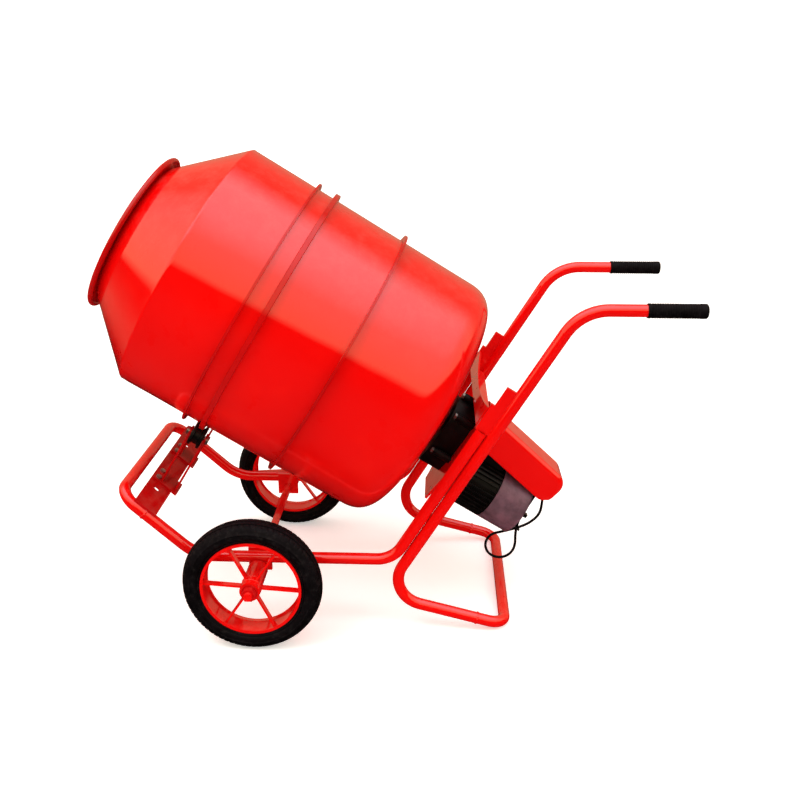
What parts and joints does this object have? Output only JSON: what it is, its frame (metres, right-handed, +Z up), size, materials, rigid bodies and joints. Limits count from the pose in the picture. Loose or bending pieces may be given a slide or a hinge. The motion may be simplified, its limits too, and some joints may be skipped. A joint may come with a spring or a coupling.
{
  "type": "concrete mixer",
  "caption": "Wheeled drum concrete mixer in red paint, with push handles, a black motor and gearbox under a hood, and grooved support rollers.",
  "frame": {"origin": "On the ground, under the middle of the overall length, on the plane of symmetry of the frame.", "axes": "X runs from the mouth of the drum to the push handles, Y across the machine along the wheel axle, Z up from the ground."},
  "size_m": [1.424, 0.776, 1.124],
  "materials": {
    "red_paint": "gloss",
    "black_paint": "satin",
    "black_rubber": "matte",
    "tyre_rubber": "matte",
    "bright_steel": "satin",
    "bronze": "satin",
    "black_plastic": "matte"
  },
  "bodies": {
    "chassis": {"axle": "red_paint", "axle_brackets": "red_paint", "axle_nuts": "bright_steel", "bracket_bolts": "bright_steel", "cable_gland": "black_plastic", "cable_ties": "black_plastic", "counter_bushes": "bronze", "cross_plate": "red_paint", "cross_strip": "red_paint", "fan_cover": "black_paint", "foot_bar": "red_paint", "frame_rail_left": "red_paint", "frame_rail_right": "red_paint", "front_bow": "red_paint", "gearbox_bolts": "bright_steel", "gearbox_cover": "black_paint", "gearbox_housing": "black_paint", "grip_left": "black_rubber", "grip_right": "black_rubber", "handle_left": "red_paint", "handle_right": "red_paint", "lead_run": "black_rubber", "motor_bearings": "bright_steel", "motor_body": "black_paint", "motor_bolts": "bright_steel", "motor_front_bell": "black_paint", "motor_hood": "red_paint", "motor_rear_bell": "black_paint", "mount_plate": "red_paint", "output_bearings": "bright_steel", "plug": "black_plastic", "post_brackets": "red_paint", "roller_brackets": "red_paint", "roller_pins": "bright_steel", "stator": "bright_steel", "terminal_box": "black_plastic"},
    "drum": {"drum_cone": "red_paint", "drum_barrel": "red_paint", "drum_base": "red_paint", "mouth_rim": "red_paint", "guide_ring": "red_paint", "track_ring": "red_paint", "seam_ring": "red_paint", "mixing_blades": "red_paint", "drum_shaft": "bright_steel", "flange_bolts": "bright_steel", "output_gear": "bright_steel"},
    "wheel_left": {"rim_left": "red_paint", "spider_left": "red_paint", "tyre_left": "tyre_rubber"},
    "wheel_right": {"rim_right": "red_paint", "spider_right": "red_paint", "tyre_right": "tyre_rubber"},
    "support_roller_left": {"roller_left": "black_paint"},
    "support_roller_right": {"roller_right": "black_paint"},
    "countershaft_set": {"countershaft": "bright_steel", "counter_gear": "bright_steel"},
    "rotor": {"rotor_shaft": "bright_steel", "rotor_core": "bright_steel", "fan": "black_plastic"}
  },
  "joints": [
    {"name": "drum_spin", "type": "hinge", "parent": "chassis", "child": "drum", "pos_m": [0.03304, 0, 0.542], "axis": [-0.8536, 0, 0.521], "continuous": true},
    {"name": "wheel_left_spin", "type": "hinge", "parent": "chassis", "child": "wheel_left", "pos_m": [-0.29596, -0.325, 0.165], "axis": [0, 1, 0], "continuous": true},
    {"name": "wheel_right_spin", "type": "hinge", "parent": "chassis", "child": "wheel_right", "pos_m": [-0.29596, 0.325, 0.165], "axis": [0, 1, 0], "continuous": true},
    {"name": "roller_left_spin", "type": "hinge", "parent": "chassis", "child": "support_roller_left", "pos_m": [-0.4641, -0.08596, 0.44156], "axis": [-0.8536, 0, 0.521], "continuous": true},
    {"name": "roller_right_spin", "type": "hinge", "parent": "chassis", "child": "support_roller_right", "pos_m": [-0.4641, 0.08596, 0.44156], "axis": [-0.8536, 0, 0.521], "continuous": true},
    {"name": "counter_spin", "type": "hinge", "parent": "chassis", "child": "countershaft_set", "pos_m": [0.15865, 0.021, 0.4023], "axis": [-0.8536, 0, 0.521], "continuous": true},
    {"name": "rotor_spin", "type": "hinge", "parent": "chassis", "child": "rotor", "pos_m": [0.21472, 0, 0.30223], "axis": [-0.8536, 0, 0.521], "continuous": true}
  ],
  "couplings": [
    {"joint": "roller_left_spin", "follows": "drum_spin", "ratio": -14.435},
    {"joint": "roller_right_spin", "follows": "drum_spin", "ratio": -14.435},
    {"joint": "counter_spin", "follows": "drum_spin", "ratio": -6},
    {"joint": "rotor_spin", "follows": "drum_spin", "ratio": 42}
  ]
}
